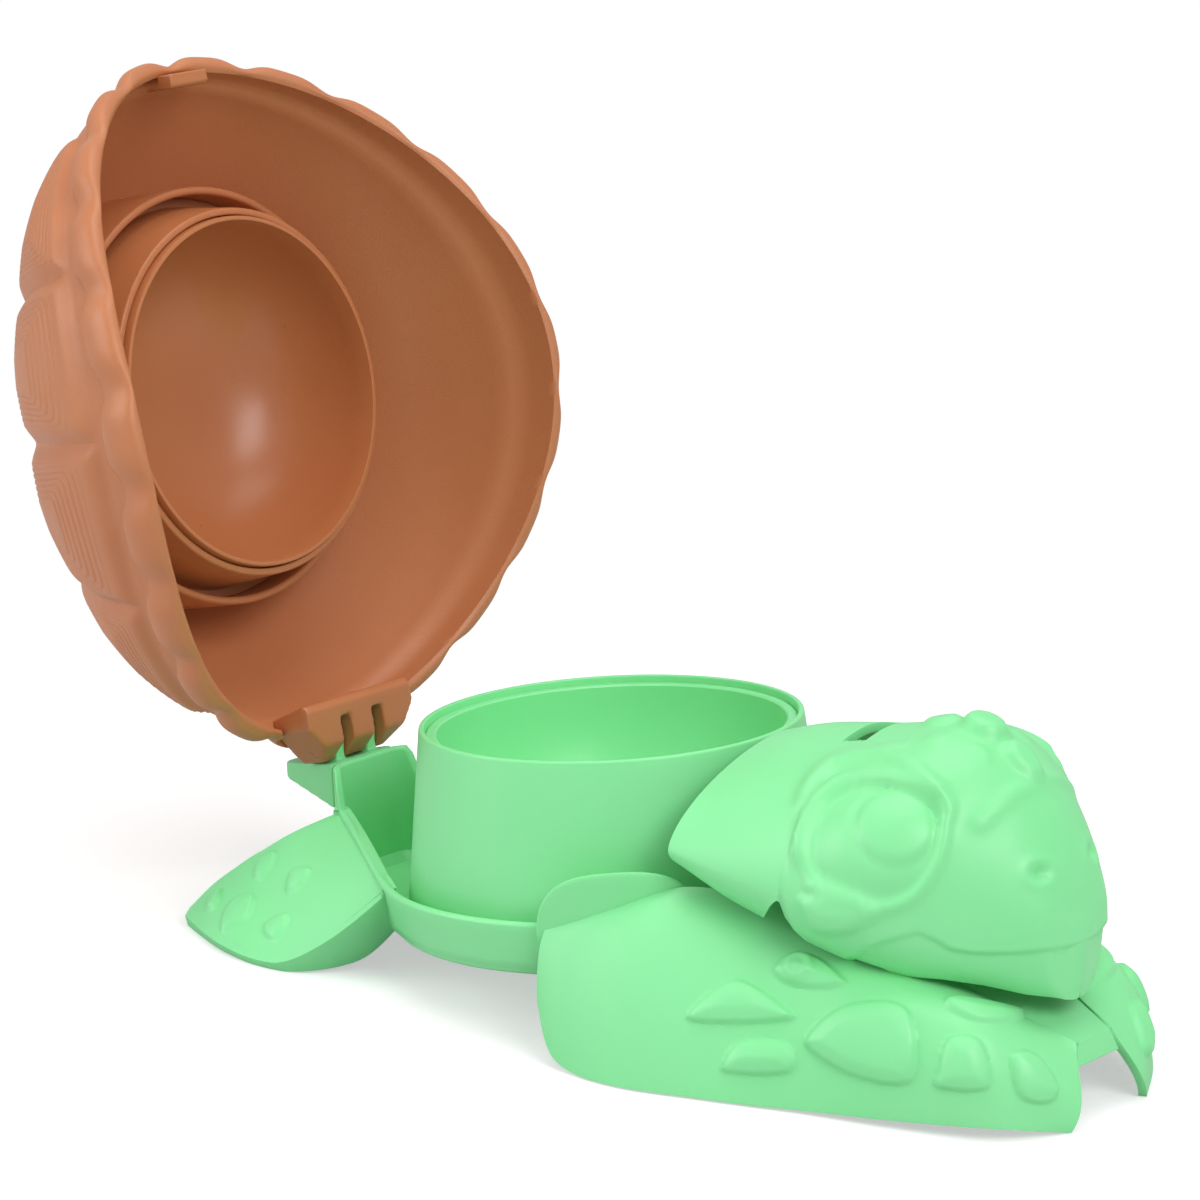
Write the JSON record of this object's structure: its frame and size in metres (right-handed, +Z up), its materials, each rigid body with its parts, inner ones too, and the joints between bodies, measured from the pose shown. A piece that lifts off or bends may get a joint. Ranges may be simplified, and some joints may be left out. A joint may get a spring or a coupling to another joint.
{
  "type": "sandbox with cover",
  "caption": "Turtle-shaped toy sandbox: a round tub in a pan on four hollow flippers, with a hooded head and a domed shell cover, holding a second bowl, hinged above the tail.",
  "frame": {"origin": "on the floor, under the middle of the open part's box", "axes": "+X towards the head, +Y to the turtle's left, +Z up; the cup leans back by the body's pitch of 5.5 degrees"},
  "size_m": [0.413, 0.202, 0.2654],
  "materials": {
    "green_plastic": "satin moulded plastic",
    "brown_plastic": "satin moulded plastic, fine stipple outside",
    "steel": "plain"
  },
  "bodies": {
    "body": {"pan": "green_plastic", "tail": "green_plastic", "cup_skirt": "green_plastic", "cup_bowl": "green_plastic", "front_flipper_left": "green_plastic", "front_flipper_right": "green_plastic", "rear_flipper_left": "green_plastic", "rear_flipper_right": "green_plastic", "chest_apron": "green_plastic", "head": "green_plastic", "head_screws": "steel", "hinge_pin": "steel"},
    "cover": {"shell": "brown_plastic", "hinge_leaf": "brown_plastic", "latch_tab": "brown_plastic", "bowl_collar": "brown_plastic", "lid_skirt": "brown_plastic", "lid_dish": "brown_plastic"}
  },
  "joints": [
    {"name": "cover_hinge", "type": "hinge", "parent": "body", "child": "cover", "pos_m": [-0.09245, 0, 0.05811], "axis": [0, 1, 0], "range_deg": [0, 99]}
  ]
}
